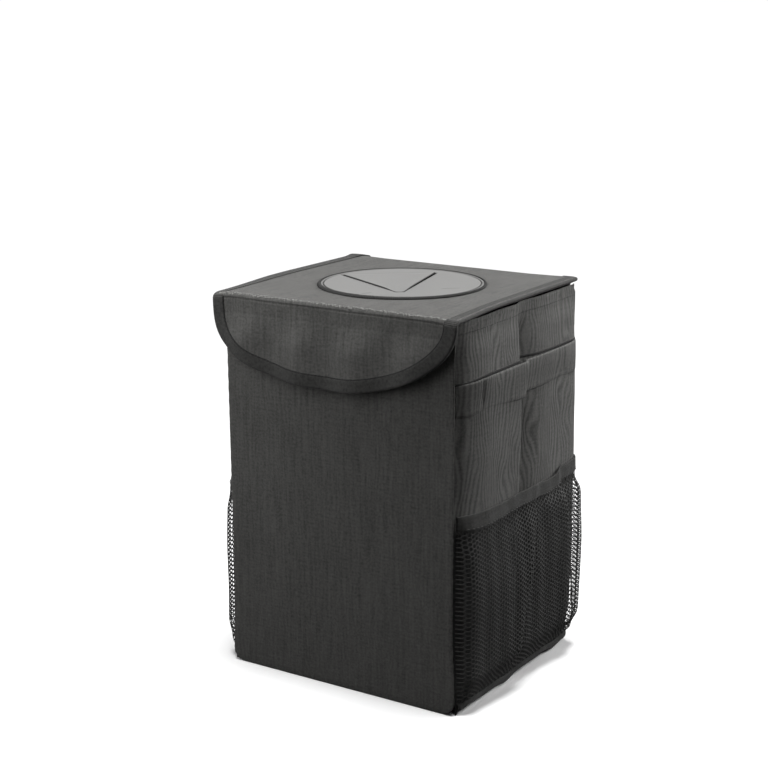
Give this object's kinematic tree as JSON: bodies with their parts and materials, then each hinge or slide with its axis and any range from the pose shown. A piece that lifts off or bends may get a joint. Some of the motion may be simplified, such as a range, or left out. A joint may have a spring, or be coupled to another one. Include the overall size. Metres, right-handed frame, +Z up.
{
  "type": "car trash bin",
  "caption": "Soft-sided car litter bin with a hinged lid, front closure flap, push-in rubber opening and a net pocket on each side.",
  "frame": {"origin": "middle of the underside, on the surface that the bin stands on", "axes": "+Z up, the front with the closure flap faces -Y, +X to the right seen from the front"},
  "size_m": [0.21, 0.1794, 0.2657],
  "materials": {
    "shell_cloth": "woven polyester, matte",
    "binding_tape": "ribbed edging tape, matte",
    "net": "knitted net",
    "stiff_board": "plain sheet",
    "liner_film": "soft waterproof film",
    "insert_rubber": "satin moulded",
    "fastener_tape": "hooks and loops",
    "strap_webbing": "woven webbing",
    "slide_plastic": "moulded, satin"
  },
  "bodies": {
    "bin": {"front_panel": "shell_cloth", "back_panel": "shell_cloth", "left_gusset": "shell_cloth", "right_gusset": "shell_cloth", "base_panel": "shell_cloth", "front_board": "stiff_board", "back_board": "stiff_board", "base_board": "stiff_board", "liner": "liner_film", "rim_tape": "binding_tape", "left_band": "shell_cloth", "right_band": "shell_cloth", "left_pocket_net": "net", "right_pocket_net": "net", "left_pocket_hem": "shell_cloth", "right_pocket_hem": "shell_cloth", "loop_strip": "fastener_tape", "hinge_tape": "shell_cloth", "hang_strap": "strap_webbing", "strap_slide": "slide_plastic"},
    "lid": {"lid_cover": "shell_cloth", "lid_board": "stiff_board", "lid_lining": "shell_cloth", "left_lid_binding": "binding_tape", "right_lid_binding": "binding_tape", "insert_plate": "insert_rubber"},
    "push_flap": {"push_flap": "insert_rubber"},
    "closure_flap": {"closure_flap": "shell_cloth", "flap_binding": "binding_tape", "hook_strip": "fastener_tape"}
  },
  "joints": [
    {"name": "lid_hinge", "type": "hinge", "parent": "bin", "child": "lid", "pos_m": [0, 0.0842, 0.263], "axis": [-1, 0, 0], "range_deg": [0, 225]},
    {"name": "flap_hinge", "type": "hinge", "parent": "lid", "child": "closure_flap", "pos_m": [0, -0.0854, 0.263], "axis": [-1, 0, 0], "range_deg": [0, 170]},
    {"name": "push_hinge", "type": "hinge", "parent": "lid", "child": "push_flap", "pos_m": [-0.02491, 0.02248, 0.26475], "axis": [0.7826, 0.6225, 0], "range_deg": [0, 70], "stiffness_Nm_per_rad": 0.03, "springref_deg": -3.44}
  ]
}
